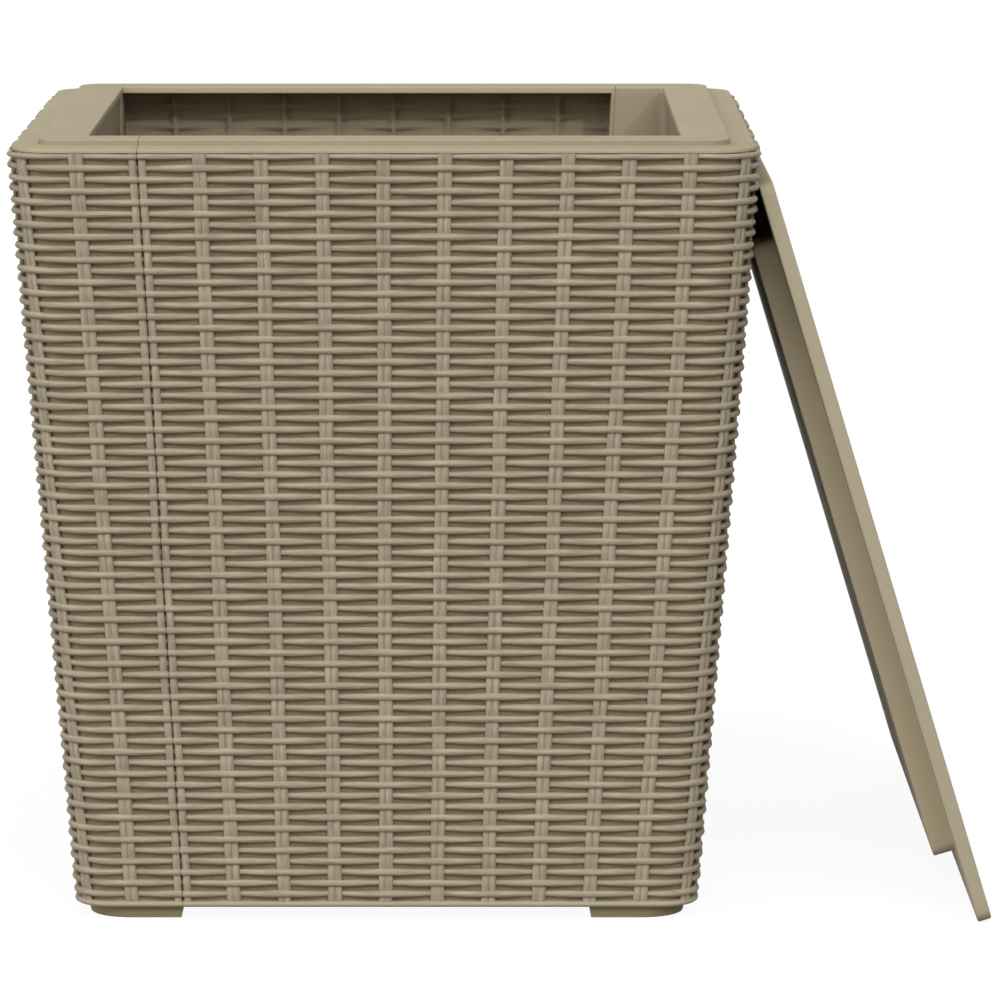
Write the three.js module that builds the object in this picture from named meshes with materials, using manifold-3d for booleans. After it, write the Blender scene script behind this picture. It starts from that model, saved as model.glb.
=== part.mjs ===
// Propane tank cover table: a tapered box of moulded resin wicker in two equal halves, open
// at the top and the bottom, on four corner feet, with its table-top lid leaning on the right side.
// Millimetres, +Z up, the front facing -Y. The origin is the middle of the whole footprint on the floor.
import * as THREE from "three";
import { mergeVertices } from "three/addons/utils/BufferGeometryUtils.js";
import { ConvexGeometry } from "three/addons/geometries/ConvexGeometry.js";
import Module from "manifold-3d";

const wasm = await Module();
wasm.setup();

// Body: heights and widths
const rimWidth = 500;
const rimTopHeight = 534;
const courseProud = 3.7;
const bodyTaper = 39.1;
const footHeight = 9;
const cornerRadius = 32;

// Weave: horizontal courses over upright stakes
const courseCount = 67;
const stakesPerSide = 12;
const stakesToSeam = 2;
const firstCourseDrop = 2.1;
const beadRise = 1.8;
const courseDepth = 4.2;
const weaveRise = 1.3;
const backThickness = 3;

// Rim, raised border and opening
const rimThickness = 3;
const rimCornerRadius = 29;
const borderInset = 17;
const borderRise = 4.6;
const borderThickness = 4.6;
const borderDraft = 0.6;
const borderCornerRadius = 18;
const openingCornerRadius = 2;

// Inner skins, end flanges and corner ribs
const skinSetBack = 2.5;
const skinThickness = 3;
const skinToWall = 1.9;
const flangeThickness = 3;
const cornerRibThickness = 5;
const seamGap = 0.3;
const partGap = 0.3;

// Feet and the ledges they are screwed to
const footInset = 8.4;
const footCornerRadius = 28;
const footLegWidth = 20;
const footDraft = 1.6;
const ledgeThickness = 3;

// Self-tapping screws and their bosses
const screwShankRadius = 2;
const screwHeadRadius = 4.2;
const screwHeadHeight = 2.4;
const screwCrownShare = 0.6;
const screwShoulderShare = 0.4;
const screwLength = 12;
const screwClearance = 0.3;
const bossWall = 2;
const seamScrewShares = [0.3, 0.58, 0.9];

// Lid: plate, raised field and screws
const lidOverhang = 15.3;
const lidThickness = 9.7;
const lidCornerRadius = 9;
const lidSkin = 3;
const lidEdgeBevel = 1.2;
const fieldInset = 43.6;
const fieldDepth = 15.7;
const fieldCornerRadius = 8;
const lidRibCount = 4;
const lidRibThickness = 2;
const lidScrewInset = 24;
const lidScrewLength = 16;

// How the lid leans on the right side
const leanAngle = THREE.MathUtils.degToRad(16.9);
const lidFrontSetBack = 25;

const cornerSteps = 4;
const roundSteps = 12;
const cutOverrun = 1;
const mergeDistance = 0.0001;
const angleTolerance = 0.01;
const leanSteps = 2000;

const bodyTop = rimTopHeight - rimThickness;
const bodyBottom = footHeight;
const firstCrest = bodyTop - firstCourseDrop;
const coursePitch = (firstCrest - beadRise - bodyBottom) / courseCount;
const rimHalf = rimWidth / 2;
const borderHalf = rimHalf - borderInset;
const borderTop = rimTopHeight + borderRise;
const wallDepth = courseDepth + backThickness;
const skinHalf = backHalfAt(bodyBottom) - skinToWall - skinThickness;
const openingHalf = skinHalf - skinSetBack;

const resin = new THREE.MeshStandardMaterial({ color: 0xb4a284, roughness: 0.6, metalness: 0 });
const lidResin = new THREE.MeshStandardMaterial({ color: 0xb3a384, roughness: 0.55, metalness: 0 });
const footResin = new THREE.MeshStandardMaterial({ color: 0xa89878, roughness: 0.7, metalness: 0 });
const steel = new THREE.MeshStandardMaterial({ color: 0x9a9a98, roughness: 0.35, metalness: 0.9 });

// Solids from closed meshes, and back
function toSolid(geometry) {
  const plain = geometry.clone();
  for (const name of Object.keys(plain.attributes)) {
    if (name !== "position") plain.deleteAttribute(name);
  }
  const merged = mergeVertices(plain, mergeDistance);
  return new wasm.Manifold(
    new wasm.Mesh({
      numProp: 3,
      vertProperties: merged.attributes.position.array,
      triVerts: new Uint32Array(merged.index.array),
    }),
  );
}

function toGeometry(solid) {
  const { vertProperties, triVerts, numProp } = solid.getMesh();
  const geometry = new THREE.BufferGeometry();
  const interleaved = new THREE.InterleavedBuffer(vertProperties, numProp);
  geometry.setAttribute("position", new THREE.InterleavedBufferAttribute(interleaved, 3, 0));
  geometry.setIndex(new THREE.BufferAttribute(triVerts, 1));
  const flat = geometry.toNonIndexed();
  flat.computeVertexNormals();
  return flat;
}

function joined(geometries) {
  return geometries.map(toSolid).reduce((sum, solid) => sum.add(solid));
}

function cutFrom(solid, geometries) {
  return geometries.map(toSolid).reduce((rest, cutter) => rest.subtract(cutter), solid);
}

// Widths of the tapered body at a height
function heightShare(z) {
  return (z - bodyBottom) / (bodyTop - bodyBottom);
}

function crestHalfAt(z) {
  return rimHalf + courseProud - bodyTaper * (1 - heightShare(z));
}

function radiusAt(z) {
  return (cornerRadius * crestHalfAt(z)) / crestHalfAt(bodyTop);
}

function backHalfAt(z) {
  return crestHalfAt(z) - wallDepth;
}

// Stakes stand evenly round the body, one on each corner
function stakePitchAt(z) {
  const round = 8 * (crestHalfAt(z) - radiusAt(z)) + 2 * Math.PI * radiusAt(z);
  return round / (4 * stakesPerSide);
}

function seamAt(z) {
  return (stakesPerSide / 2 - stakesToSeam) * stakePitchAt(z);
}

// A side is 0 front, 1 right, 2 rear: along runs to the right as seen from outside it
function onSide(side, along, outward, z) {
  const turn = (side * Math.PI) / 2;
  return new THREE.Vector3(along, -outward, z).applyAxisAngle(new THREE.Vector3(0, 0, 1), turn);
}

function onCorner(side, angle, half, radius, z) {
  const middle = half - radius;
  return onSide(side, middle + radius * Math.sin(angle), middle + radius * Math.cos(angle), z);
}

// Closed body from equal rings of points, the end caps made of the given triangles of a ring
function sweptRings(rings, capTriangles) {
  const count = rings[0].length;
  const positions = rings.flat().flatMap((point) => point.toArray());
  const indices = [];
  for (let ring = 0; ring + 1 < rings.length; ring += 1) {
    for (let i = 0; i < count; i += 1) {
      const here = ring * count + i;
      const next = ring * count + ((i + 1) % count);
      indices.push(here, next, here + count, next, next + count, here + count);
    }
  }
  const lastRing = (rings.length - 1) * count;
  for (const [a, b, c] of capTriangles) {
    indices.push(a, c, b, lastRing + a, lastRing + b, lastRing + c);
  }
  const geometry = new THREE.BufferGeometry();
  geometry.setAttribute("position", new THREE.Float32BufferAttribute(positions, 3));
  geometry.setIndex(indices);
  return geometry;
}

// Rings along one body half: from the front seam round two corners to the rear seam
function halfRings(section) {
  const seamRing = (side, shift) =>
    section.map((spot) => onSide(side, shift - seamAt(spot.z), spot.half, spot.z));
  const rings = [seamRing(0, seamGap / 2)];
  for (const side of [0, 1]) {
    for (let step = 0; step <= cornerSteps; step += 1) {
      const angle = (step * Math.PI) / 2 / cornerSteps;
      rings.push(section.map((spot) => corneredPoint(side, angle, spot)));
    }
  }
  rings.push(seamRing(2, -seamGap / 2));
  return rings;
}

// A course stands out where it passes over the corner stake and draws in where it passes under
function corneredPoint(side, angle, spot) {
  const onStake = Math.abs(angle - Math.PI / 4) < angleTolerance;
  const rise = onStake && spot.isCrest ? weaveRise * (spot.course % 2 === 0 ? 1 : -1) : 0;
  return onCorner(side, angle, spot.half + rise, spot.radius + rise, spot.z);
}

// Wall: down the courses outside to the bottom bead, then straight up the back
function wovenWall() {
  const intoRim = bodyTop + rimThickness / 2;
  const section = [{ half: crestHalfAt(bodyTop) - courseDepth, radius: radiusAt(bodyTop), z: intoRim }];
  for (let course = 0; course <= courseCount; course += 1) {
    const isBead = course === courseCount;
    const middle = firstCrest - course * coursePitch;
    const below = isBead ? bodyBottom : middle - coursePitch / 2;
    const groove = isBead ? courseDepth / 2 : courseDepth;
    const crest = { half: crestHalfAt(middle), radius: radiusAt(middle), z: middle };
    section.push({ ...crest, course, isCrest: !isBead });
    section.push({ half: crestHalfAt(below) - groove, radius: radiusAt(below) - groove, z: below });
  }
  const lowest = section.length - 1;
  const backRadius = (z) => radiusAt(z) - wallDepth;
  section.push({ half: backHalfAt(bodyBottom), radius: backRadius(bodyBottom), z: bodyBottom });
  section.push({ half: backHalfAt(intoRim), radius: backRadius(intoRim), z: intoRim });
  const [backLow, backHigh] = [lowest + 1, lowest + 2];
  const turn = 2 * Math.floor(courseCount / 2);
  const triangles = [[turn, backLow, backHigh]];
  for (let groove = 0; groove < lowest; groove += 2) {
    triangles.push([groove, groove + 1, groove + 2]);
    triangles.push([groove, groove + 2, groove < turn ? backHigh : backLow]);
  }
  return sweptRings(halfRings(section), triangles);
}

// Rim band, raised border and the opening's edge
function rim() {
  const underBorder = borderTop - borderThickness;
  const section = [
    { half: rimHalf, radius: rimCornerRadius, z: rimTopHeight },
    { half: rimHalf, radius: rimCornerRadius, z: bodyTop },
    { half: borderHalf - rimThickness, radius: borderCornerRadius - rimThickness, z: bodyTop },
    { half: borderHalf - rimThickness, radius: borderCornerRadius - rimThickness, z: underBorder },
    { half: openingHalf, radius: openingCornerRadius, z: underBorder },
    { half: openingHalf, radius: openingCornerRadius, z: borderTop },
    { half: borderHalf - borderDraft, radius: borderCornerRadius - borderDraft, z: borderTop },
    { half: borderHalf, radius: borderCornerRadius, z: rimTopHeight },
  ];
  const triangles = [
    [0, 1, 2],
    [0, 2, 7],
    [2, 3, 7],
    [3, 6, 7],
    [3, 5, 6],
    [3, 4, 5],
  ];
  return sweptRings(halfRings(section), triangles);
}

// Upright web from the line of the opening to the tapered wall, leaning where it follows the seam
function web(side, fromAt, thickness) {
  const edges = [
    { z: bodyBottom, outerHalf: backHalfAt(bodyBottom) + backThickness / 2 },
    { z: bodyTop, outerHalf: backHalfAt(bodyTop) + backThickness / 2 },
    { z: borderTop - borderThickness / 2, outerHalf: (openingHalf + borderHalf) / 2 },
  ];
  const points = edges.flatMap(({ z, outerHalf }) =>
    [fromAt(z), fromAt(z) + thickness].flatMap((along) => [
      onSide(side, along, openingHalf, z),
      onSide(side, along, outerHalf, z),
    ]),
  );
  return new ConvexGeometry(points);
}

// Inner skin below the opening's edge: a little behind it on the side face, flush on the short return
function skin(side, fromAt, toAt, innerHalf) {
  const points = [];
  for (const z of [bodyBottom, borderTop - borderThickness / 2]) {
    for (const along of [fromAt(z), toAt(z)]) {
      points.push(onSide(side, along, innerHalf, z));
      points.push(onSide(side, along, innerHalf + skinThickness, z));
    }
  }
  return new ConvexGeometry(points);
}

// Plan of a foot or a ledge: two legs of equal width from a rounded outer corner, on side 0
function cornerPlan(half, radius, innerHalf, legEnd) {
  const plan = [new THREE.Vector2(legEnd, -half)];
  const arcMiddle = half - radius;
  for (let step = 0; step <= roundSteps; step += 1) {
    const angle = (step * Math.PI) / 2 / roundSteps;
    const across = arcMiddle + radius * Math.sin(angle);
    const forward = arcMiddle + radius * Math.cos(angle);
    plan.push(new THREE.Vector2(across, -forward));
  }
  plan.push(new THREE.Vector2(half, -legEnd), new THREE.Vector2(innerHalf, -legEnd));
  plan.push(new THREE.Vector2(innerHalf, -innerHalf), new THREE.Vector2(legEnd, -innerHalf));
  return plan;
}

function uprightCylinder(radius, bottom, height, place) {
  const geometry = new THREE.CylinderGeometry(radius, radius, height, roundSteps);
  geometry.rotateX(Math.PI / 2);
  geometry.translate(place.x, place.y, bottom + height / 2);
  return geometry;
}

const footHalf = crestHalfAt(bodyBottom) - footInset;
const footInner = footHalf - footLegWidth;
const footCornerReach = footCornerRadius * (1 - Math.SQRT1_2);
const footMiddle = footHalf - (footCornerReach + footLegWidth) / 2;
const footEnd = seamAt(bodyBottom);
const screwBore = screwShankRadius + screwClearance;
const bossRadius = screwBore + bossWall;
const footRecess = footHeight / 2;
const footScrewTop = footRecess + screwLength;

function footPlace(side) {
  return onSide(side, footMiddle, footMiddle, 0);
}

// Ledge inside a bottom corner, with the boss that a foot is screwed into
function ledge(side) {
  const half = backHalfAt(bodyBottom) + backThickness / 2;
  const plan = new THREE.Shape(cornerPlan(half, radiusAt(bodyBottom), footInner, footEnd));
  const plate = new THREE.ExtrudeGeometry(plan, { depth: ledgeThickness, bevelEnabled: false });
  plate.translate(0, 0, bodyBottom);
  plate.rotateZ((side * Math.PI) / 2);
  const bossHeight = footScrewTop + cutOverrun + bossWall - bodyBottom;
  return [plate, uprightCylinder(bossRadius, bodyBottom, bossHeight, footPlace(side))];
}

function ledgeBore(side) {
  const depth = footScrewTop + cutOverrun - bodyBottom;
  return uprightCylinder(screwBore, bodyBottom - cutOverrun, depth + cutOverrun, footPlace(side));
}

// Seam screws lie square to the leaning seam, with the head on the main face's flange
const seamLean = Math.atan2(seamAt(bodyTop) - seamAt(bodyBottom), bodyTop - bodyBottom);

function seamScrewSpot(share) {
  const z = THREE.MathUtils.lerp(bodyBottom, bodyTop, share);
  return { z, outward: (skinHalf + backHalfAt(z)) / 2 };
}

function alongSeamScrew(geometry, side, share) {
  const { z, outward } = seamScrewSpot(share);
  geometry.rotateY(-Math.PI / 2 - seamLean);
  geometry.translate(-seamAt(z), -outward, z);
  geometry.rotateZ((side * Math.PI) / 2);
  return geometry;
}

function seamCylinder(side, share, radius, from, to) {
  const geometry = new THREE.CylinderGeometry(radius, radius, to - from, roundSteps);
  geometry.rotateX(Math.PI / 2);
  geometry.translate(0, 0, (from + to) / 2);
  return alongSeamScrew(geometry, side, share);
}

const seamScrewTip = screwLength - flangeThickness - seamGap / 2 - partGap;

function bodyHalf() {
  const ribStart = () => skinHalf + skinThickness - cornerRibThickness;
  const solids = [
    wovenWall(),
    rim(),
    skin(1, () => -skinHalf - skinThickness, () => skinHalf + skinThickness, skinHalf),
    skin(2, () => -skinHalf - skinThickness, (z) => -seamGap / 2 - seamAt(z), openingHalf),
    web(0, (z) => seamGap / 2 - seamAt(z), flangeThickness),
    web(2, (z) => -seamGap / 2 - seamAt(z) - flangeThickness, flangeThickness),
    web(0, ribStart, cornerRibThickness),
    ...ledge(0),
    ...ledge(1),
  ];
  const cutters = [ledgeBore(0), ledgeBore(1)];
  for (const share of seamScrewShares) {
    const bossEnd = seamScrewTip + cutOverrun + bossWall;
    solids.push(seamCylinder(2, share, bossRadius, flangeThickness / 2, bossEnd));
    cutters.push(seamCylinder(2, share, screwBore, -cutOverrun, seamScrewTip + cutOverrun));
    cutters.push(seamCylinder(0, share, screwBore, -flangeThickness - cutOverrun, cutOverrun));
  }
  return toGeometry(cutFrom(joined(solids), cutters));
}

// Pan-head screw along +Z with the underside of its head at zero
function screwGeometry(length) {
  const outline = [
    [0, -screwHeadHeight],
    [screwHeadRadius * screwCrownShare, -screwHeadHeight],
    [screwHeadRadius, -screwHeadHeight * screwShoulderShare],
    [screwHeadRadius, 0],
    [screwShankRadius, 0],
    [screwShankRadius, length - 2 * screwShankRadius],
    [0, length],
  ].map(([radius, height]) => new THREE.Vector2(radius, height));
  const geometry = new THREE.LatheGeometry(outline, roundSteps);
  geometry.rotateX(Math.PI / 2);
  return geometry;
}

// Foot: drafted all round, so that it narrows towards the floor
function footGeometry() {
  const levels = [
    { z: 0, draft: footDraft },
    { z: footHeight - partGap, draft: 0 },
  ];
  const plans = levels.map(({ draft }) =>
    cornerPlan(footHalf - draft, footCornerRadius, footInner + draft, footEnd + draft),
  );
  const rings = levels.map(({ z }, level) => plans[level].map(({ x, y }) => new THREE.Vector3(x, y, z)));
  const pad = sweptRings(rings, THREE.ShapeUtils.triangulateShape(plans[0], []));
  const place = footPlace(0);
  return toGeometry(
    cutFrom(toSolid(pad), [
      uprightCylinder(screwBore, -cutOverrun, footHeight + 2 * cutOverrun, place),
      uprightCylinder(screwHeadRadius + screwClearance, -cutOverrun, footRecess + cutOverrun, place),
    ]),
  );
}

// Lid in its own frame: flat, centred, the plate's underside at zero and the raised field below it
function roundedSquare(half, radius) {
  const plan = new THREE.Shape();
  plan.moveTo(half, radius - half);
  for (let side = 0; side < 4; side += 1) {
    const middle = new THREE.Vector2(half - radius, half - radius).rotateAround(
      new THREE.Vector2(),
      (side * Math.PI) / 2,
    );
    plan.absarc(middle.x, middle.y, radius, (side * Math.PI) / 2, ((side + 1) * Math.PI) / 2);
  }
  plan.closePath();
  return plan;
}

function slab(half, radius, bottom, top) {
  const geometry = new THREE.ExtrudeGeometry(roundedSquare(half, radius), {
    depth: top - bottom,
    bevelEnabled: false,
    curveSegments: cornerSteps,
  });
  geometry.translate(0, 0, bottom);
  return geometry;
}

function softSlab(half, radius, bottom, top, bevel) {
  const geometry = new THREE.ExtrudeGeometry(roundedSquare(half - bevel, radius - bevel), {
    depth: top - bottom - 2 * bevel,
    bevelThickness: bevel,
    bevelSize: bevel,
    bevelSegments: 2,
    curveSegments: cornerSteps,
  });
  geometry.translate(0, 0, bottom + bevel);
  return geometry;
}

const lidHalf = rimHalf + lidOverhang;
const trayHalf = lidHalf - lidSkin;
const fieldHalf = lidHalf - fieldInset;
const panHalf = fieldHalf - lidSkin;
const lidScrewHalf = fieldHalf - lidScrewInset;
const lidScrewPlaces = [
  [0, 0],
  [1, 1],
  [-1, 1],
  [-1, -1],
  [1, -1],
].map(([x, y]) => new THREE.Vector2(x * lidScrewHalf, y * lidScrewHalf));
const panFloorTop = lidSkin - fieldDepth;
const lidHeadSeat = panFloorTop - lidSkin / 2 + screwHeadHeight / 2;

function lidTopGeometry() {
  const shellOnly = cutFrom(toSolid(softSlab(lidHalf, lidCornerRadius, 0, lidThickness, lidEdgeBevel)), [
    slab(trayHalf, lidCornerRadius - lidSkin, -cutOverrun, lidThickness - lidSkin),
  ]);
  const additions = [];
  const ribBottom = lidSkin + partGap;
  const ribHeight = lidThickness - lidSkin / 2 - ribBottom;
  for (let rib = 1; rib <= lidRibCount; rib += 1) {
    const place = trayHalf * ((2 * rib) / (lidRibCount + 1) - 1);
    for (const turn of [0, Math.PI / 2]) {
      const bar = new THREE.BoxGeometry(2 * trayHalf + lidSkin, lidRibThickness, ribHeight);
      bar.translate(0, place, ribBottom + ribHeight / 2);
      bar.rotateZ(turn);
      additions.push(bar);
    }
  }
  for (const place of lidScrewPlaces) {
    const bottom = panFloorTop + partGap;
    additions.push(uprightCylinder(bossRadius, bottom, lidThickness - lidSkin / 2 - bottom, place));
  }
  const bores = lidScrewPlaces.map((place) =>
    uprightCylinder(screwBore, panFloorTop, lidScrewLength, place),
  );
  return toGeometry(cutFrom(shellOnly.add(joined(additions)), bores));
}

function lidBaseGeometry() {
  const flangeHalf = trayHalf - partGap;
  const flangeRadius = lidCornerRadius - lidSkin - partGap;
  const outside = joined([
    slab(flangeHalf, flangeRadius, 0, lidSkin),
    softSlab(fieldHalf, fieldCornerRadius, -fieldDepth, lidSkin, lidEdgeBevel),
  ]);
  const cutters = [slab(panHalf, fieldCornerRadius - lidSkin, panFloorTop, lidSkin + cutOverrun)];
  for (const place of lidScrewPlaces) {
    const recess = lidHeadSeat + fieldDepth + cutOverrun;
    cutters.push(uprightCylinder(screwBore, -fieldDepth - cutOverrun, fieldDepth, place));
    cutters.push(
      uprightCylinder(screwHeadRadius + screwClearance, -fieldDepth - cutOverrun, recess, place),
    );
  }
  return toGeometry(cutFrom(outside, cutters));
}

// Assembly
function named(name, geometry, material) {
  const mesh = new THREE.Mesh(geometry, material);
  mesh.name = name;
  return mesh;
}

const assembly = new THREE.Group();
const halfGeometry = bodyHalf();
const footPad = footGeometry();
const bodyScrew = screwGeometry(screwLength);
const lidScrew = screwGeometry(lidScrewLength - lidSkin);

[
  { hand: "right", face: "front", turn: 0, corners: ["front_right", "rear_right"] },
  { hand: "left", face: "rear", turn: Math.PI, corners: ["rear_left", "front_left"] },
].forEach(({ hand, face, turn, corners }) => {
  const half = new THREE.Group();
  half.rotation.z = turn;
  half.add(named("body_half_" + hand, halfGeometry, resin));
  corners.forEach((corner, side) => {
    const quarter = new THREE.Group();
    quarter.rotation.z = (side * Math.PI) / 2;
    const screw = named("foot_screw_" + corner, bodyScrew, steel);
    screw.position.copy(footPlace(0));
    screw.position.z = footRecess - partGap;
    quarter.add(named("foot_" + corner, footPad, footResin), screw);
    half.add(quarter);
  });
  seamScrewShares.forEach((share, index) => {
    const { z, outward } = seamScrewSpot(share);
    const screw = named("seam_screw_" + face + "_" + (index + 1), bodyScrew, steel);
    screw.rotation.y = -Math.PI / 2 - seamLean;
    const headOff = new THREE.Vector3(0, 0, -flangeThickness - seamGap / 2 - partGap);
    screw.position.set(-seamAt(z), -outward, z).add(headOff.applyEuler(screw.rotation));
    half.add(screw);
  });
  assembly.add(half);
});

const lid = new THREE.Group();
lid.add(named("lid_top", lidTopGeometry(), lidResin));
lid.add(named("lid_base", lidBaseGeometry(), lidResin));
lidScrewPlaces.forEach((place, index) => {
  const screw = named("lid_screw_" + (index + 1), lidScrew, steel);
  screw.position.set(place.x, place.y, lidHeadSeat - partGap);
  lid.add(screw);
});
lid.rotation.y = Math.PI / 2 - leanAngle;

// Half width of the courses over a side at a height: widest at each crest, least at each groove
function courseHalfAt(z) {
  const course = (firstCrest - z) / coursePitch;
  const fromCrest = 2 * Math.abs(course - Math.round(course));
  return crestHalfAt(z) - courseDepth * fromCrest;
}

function bodyReachAt(z) {
  if (z > borderTop) return -Infinity;
  if (z > rimTopHeight) return borderHalf;
  return z > bodyTop ? rimHalf : courseHalfAt(z);
}

// The lid stands on the floor and the nearest place on its underside rests against the courses
function leanPlace() {
  lid.updateMatrixWorld(true);
  const floor = new THREE.Box3().setFromObject(lid, true).min.z;
  const push = (along, above) => {
    const spot = new THREE.Vector3(along, 0, above).applyEuler(lid.rotation);
    return bodyReachAt(spot.z - floor) - spot.x;
  };
  const flatHalf = lidHalf - lidEdgeBevel;
  const pushes = [push(-lidHalf, lidEdgeBevel), push(lidHalf, lidEdgeBevel)];
  for (let step = 0; step <= leanSteps; step += 1) {
    const along = THREE.MathUtils.lerp(-flatHalf, flatHalf, step / leanSteps);
    const isField = Math.abs(along) < fieldHalf;
    pushes.push(push(along, isField ? -fieldDepth : 0));
  }
  return { x: Math.max(...pushes) + partGap, z: -floor };
}
const leaning = leanPlace();
lid.position.set(leaning.x, lidHalf - rimHalf + lidFrontSetBack, leaning.z);
assembly.add(lid);

assembly.updateMatrixWorld(true);
const whole = new THREE.Box3().setFromObject(assembly, true);
const middle = whole.getCenter(new THREE.Vector3());
assembly.position.set(-middle.x, -middle.y, -whole.min.z);

const tankCoverTable = new THREE.Group();
tankCoverTable.add(assembly);
export default tankCoverTable;
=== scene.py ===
import math
import bmesh
import bpy
from mathutils import Matrix, Vector


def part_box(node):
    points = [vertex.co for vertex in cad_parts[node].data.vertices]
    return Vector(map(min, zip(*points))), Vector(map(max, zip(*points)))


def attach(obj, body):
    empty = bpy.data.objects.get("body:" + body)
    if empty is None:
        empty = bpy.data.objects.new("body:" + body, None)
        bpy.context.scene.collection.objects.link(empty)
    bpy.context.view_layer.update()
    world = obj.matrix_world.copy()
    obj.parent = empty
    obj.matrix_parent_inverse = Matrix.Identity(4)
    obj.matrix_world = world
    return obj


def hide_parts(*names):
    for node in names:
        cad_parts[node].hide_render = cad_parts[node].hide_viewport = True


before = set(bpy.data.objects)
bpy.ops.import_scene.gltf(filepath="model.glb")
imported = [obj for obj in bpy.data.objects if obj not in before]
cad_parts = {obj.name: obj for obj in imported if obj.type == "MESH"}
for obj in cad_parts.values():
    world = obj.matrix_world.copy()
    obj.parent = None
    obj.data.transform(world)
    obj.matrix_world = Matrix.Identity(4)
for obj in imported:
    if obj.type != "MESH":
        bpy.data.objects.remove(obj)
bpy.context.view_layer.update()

# Sizes in metres. The tank box is drawn about its own middle and then moved to its place.
tankBox = {
    "rimTop": 0.534,
    "wickerTop": 0.531,
    "wickerBottom": 0.009,
    "halfTop": 0.2537,
    "halfBottom": 0.2146,
    "cornerRadius": 0.032,
    "stakesPerSide": 12,
    "stakesToSeam": 4,
    "seamGap": 0.0003,
    "courses": 67,
    "firstCourse": 0.5289,
    "pitch": 0.007733,
    "openingHalf": 0.2,
}
leftLow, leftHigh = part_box("body_half_left")
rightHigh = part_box("body_half_right")[1]
boxMiddle = Vector(((leftLow[0] + rightHigh[0]) / 2, (leftLow[1] + leftHigh[1]) / 2, 0))


def wickerHalfAt(z):
    share = (z - tankBox["wickerBottom"]) / (tankBox["wickerTop"] - tankBox["wickerBottom"])
    return tankBox["halfBottom"] + (tankBox["halfTop"] - tankBox["halfBottom"]) * share


def wickerRadiusAt(z):
    return tankBox["cornerRadius"] * wickerHalfAt(z) / tankBox["halfTop"]


def stakePitchAt(z):
    half, radius = wickerHalfAt(z), wickerRadiusAt(z)
    return (8 * (half - radius) + 2 * math.pi * radius) / (4 * tankBox["stakesPerSide"])


def seamAt(z):
    return tankBox["stakesToSeam"] * stakePitchAt(z)


def onSide(side, along, outward, z):  # sides run 0 front, 1 right, 2 rear, 3 left
    turn = Matrix.Rotation(side * math.pi / 2, 3, "Z")
    return turn @ Vector((along, -outward, z))


# Materials
def nodeMaker(tree):
    def add(kind, links=None, **settings):
        node = tree.nodes.new(kind)
        for key, value in settings.items():
            setattr(node, key, value)
        for name, value in (links or {}).items():
            socket = node.inputs[name]
            if isinstance(value, bpy.types.NodeSocket):
                tree.links.new(value, socket)
            else:
                socket.default_value = value
        return node
    return add


def clearedTree(owner):
    owner.use_nodes = True
    owner.node_tree.nodes.clear()
    return owner.node_tree


def mouldedResin(name, colour, finish):
    material = bpy.data.materials.new(name)
    add = nodeMaker(clearedTree(material))
    place = add("ShaderNodeTexCoord").outputs["Object"]
    if finish["fibres"]:
        grainPlace = add("ShaderNodeUVMap", uv_map="grain").outputs["UV"]
    else:
        grainPlace = place
    cloud = add("ShaderNodeTexNoise", {
        "Vector": place, "Scale": finish["cloudScale"], "Detail": finish["cloudDetail"]})
    stretch = add("ShaderNodeMapping", {"Vector": grainPlace, "Scale": finish["grainStretch"]})
    grain = add("ShaderNodeTexNoise", {
        "Vector": stretch.outputs["Vector"], "Scale": finish["grainScale"],
        "Detail": finish["grainDetail"], "Roughness": finish["grainHarshness"]})
    shade = add("ShaderNodeMix", {
        0: finish["cloudShare"], 2: cloud.outputs["Fac"], 3: grain.outputs["Fac"]})
    tones = add("ShaderNodeValToRGB", {"Fac": shade.outputs[0]})
    ramp = tones.color_ramp
    ramp.elements[0].position, ramp.elements[1].position = finish["darkAt"], finish["lightAt"]
    ramp.elements[0].color = [c * finish["darkest"] for c in colour] + [1]
    ramp.elements[1].color = [min(1, c * finish["lightest"]) for c in colour] + [1]
    gloss = add("ShaderNodeMapRange", {
        "Value": grain.outputs["Fac"], "From Min": finish["darkAt"], "From Max": finish["lightAt"],
        "To Min": finish["roughest"], "To Max": finish["smoothest"]})
    pebble = add("ShaderNodeTexNoise", {
        "Vector": place, "Scale": finish["pebbleScale"], "Detail": finish["pebbleDetail"]})
    fine = add("ShaderNodeBump", {
        "Height": pebble.outputs["Fac"], "Strength": finish["pebbleStrength"],
        "Distance": finish["pebbleDepth"]})
    bump = add("ShaderNodeBump", {
        "Height": grain.outputs["Fac"], "Strength": finish["grainStrength"],
        "Distance": finish["grainDepth"], "Normal": fine.outputs["Normal"]})
    surface = add("ShaderNodeBsdfPrincipled", {
        "Base Color": tones.outputs["Color"], "Roughness": gloss.outputs["Result"],
        "Normal": bump.outputs["Normal"], "IOR": finish["ior"],
        "Specular IOR Level": finish["specular"]})
    add("ShaderNodeOutputMaterial", {"Surface": surface.outputs["BSDF"]})
    return material


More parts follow.
